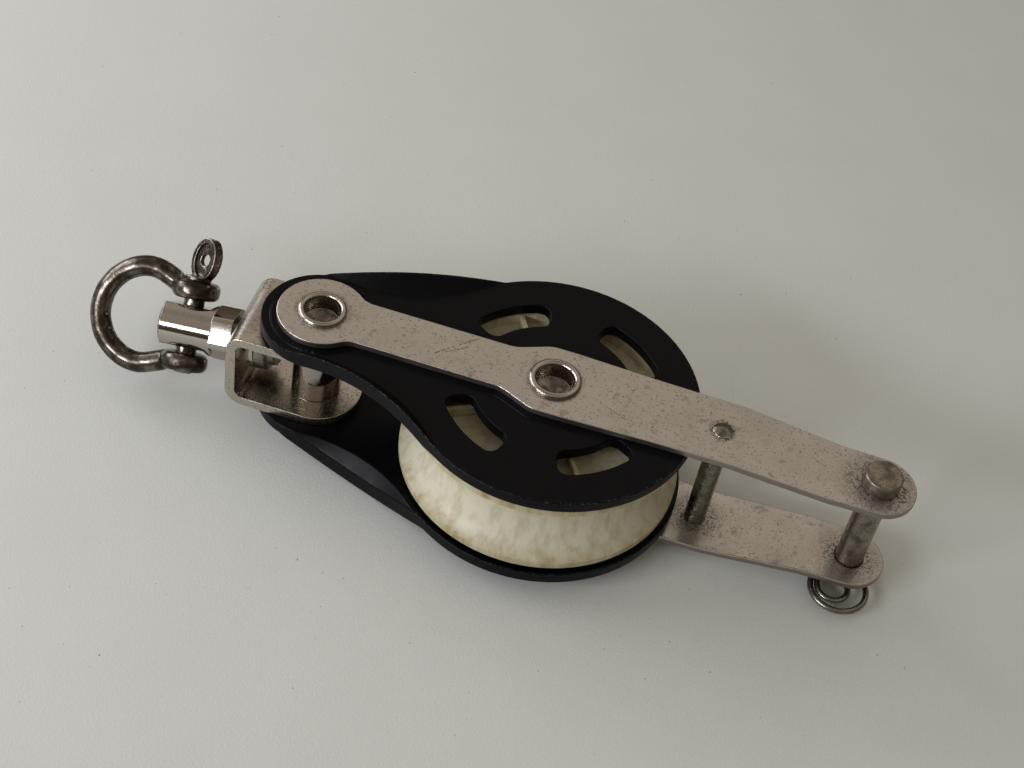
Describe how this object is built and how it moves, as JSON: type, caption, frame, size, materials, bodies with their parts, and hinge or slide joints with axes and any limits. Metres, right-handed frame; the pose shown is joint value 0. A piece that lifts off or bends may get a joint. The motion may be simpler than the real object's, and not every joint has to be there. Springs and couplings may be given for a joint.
{
  "type": "single sheave swivel block with becket",
  "caption": "Rope block with a grooved plastic sheave between strapped black cheeks, a swivelling bow shackle at the head and a clevis-pin becket at the tail.",
  "frame": {"origin": "on the sheave axle, midway between the two cheeks", "axes": "+X from the head shackle towards the becket, +Z along the sheave axle, +Y completes the right-handed frame"},
  "size_m": [0.1897, 0.0656, 0.036],
  "materials": {
    "black_plastic": "satin moulded black, scuffed along the edges",
    "strap_steel": "satin stainless sheet, fine pits and dark stains near the pins",
    "acetal": "turned ivory plastic, yellow-brown staining",
    "bronze": "plain turned bronze",
    "washer_plastic": "plain natural plastic",
    "polished_steel": "polished stainless",
    "bracket_steel": "satin stainless strip with pitting",
    "dull_steel": "dull grey stainless, worn",
    "tarnished_steel": "stainless with brown tarnish over worn bright patches"
  },
  "bodies": {
    "frame": {"cheek_upper": "black_plastic", "cheek_lower": "black_plastic", "strap_upper": "strap_steel", "strap_lower": "strap_steel", "sheave_axle": "polished_steel", "washer_upper": "washer_plastic", "washer_lower": "washer_plastic", "head_axle": "polished_steel", "head_spacer": "polished_steel", "tail_spacer": "dull_steel"},
    "sheave_body": {"sheave": "acetal", "sheave_bush": "bronze"},
    "bracket": {"head_bracket": "bracket_steel"},
    "swivel": {"swivel_post": "polished_steel", "swivel_washer": "polished_steel", "swivel_nut": "dull_steel"},
    "shackle": {"shackle_bow": "tarnished_steel"},
    "pin": {"shackle_pin": "tarnished_steel"},
    "becket_pin_body": {"clevis_pin": "dull_steel"},
    "ring": {"split_ring": "dull_steel"}
  },
  "joints": [
    {"name": "sheave_spin", "type": "hinge", "parent": "frame", "child": "sheave_body", "pos_m": [0, 0, 0], "axis": [0, 0, 1], "continuous": true},
    {"name": "bracket_swing", "type": "hinge", "parent": "frame", "child": "bracket", "pos_m": [-0.0533, 0, 0], "axis": [0, 0, 1], "range_deg": [-80, 80]},
    {"name": "swivel_turn", "type": "hinge", "parent": "bracket", "child": "swivel", "pos_m": [-0.0716, 0, -0.0003], "axis": [-0.9925, 0, -0.1219], "continuous": true},
    {"name": "shackle_swing", "type": "hinge", "parent": "swivel", "child": "shackle", "pos_m": [-0.08416, 0, -0.00184], "axis": [-0.0918, 0.6574, 0.7479], "range_deg": [-100, 100]},
    {"name": "shackle_pin_draw", "type": "slide", "parent": "shackle", "child": "pin", "axis": [-0.0918, 0.6574, 0.7479], "range_m": [0, 0.023]},
    {"name": "clevis_pin_turn", "type": "hinge", "parent": "frame", "child": "becket_pin_body", "pos_m": [0.0732, 0, 0], "axis": [0, 0, 1], "continuous": true},
    {"name": "ring_swing", "type": "hinge", "parent": "becket_pin_body", "child": "ring", "pos_m": [0.0732, 0, -0.0162], "axis": [1, 0, 0], "range_deg": [0, 180]}
  ]
}
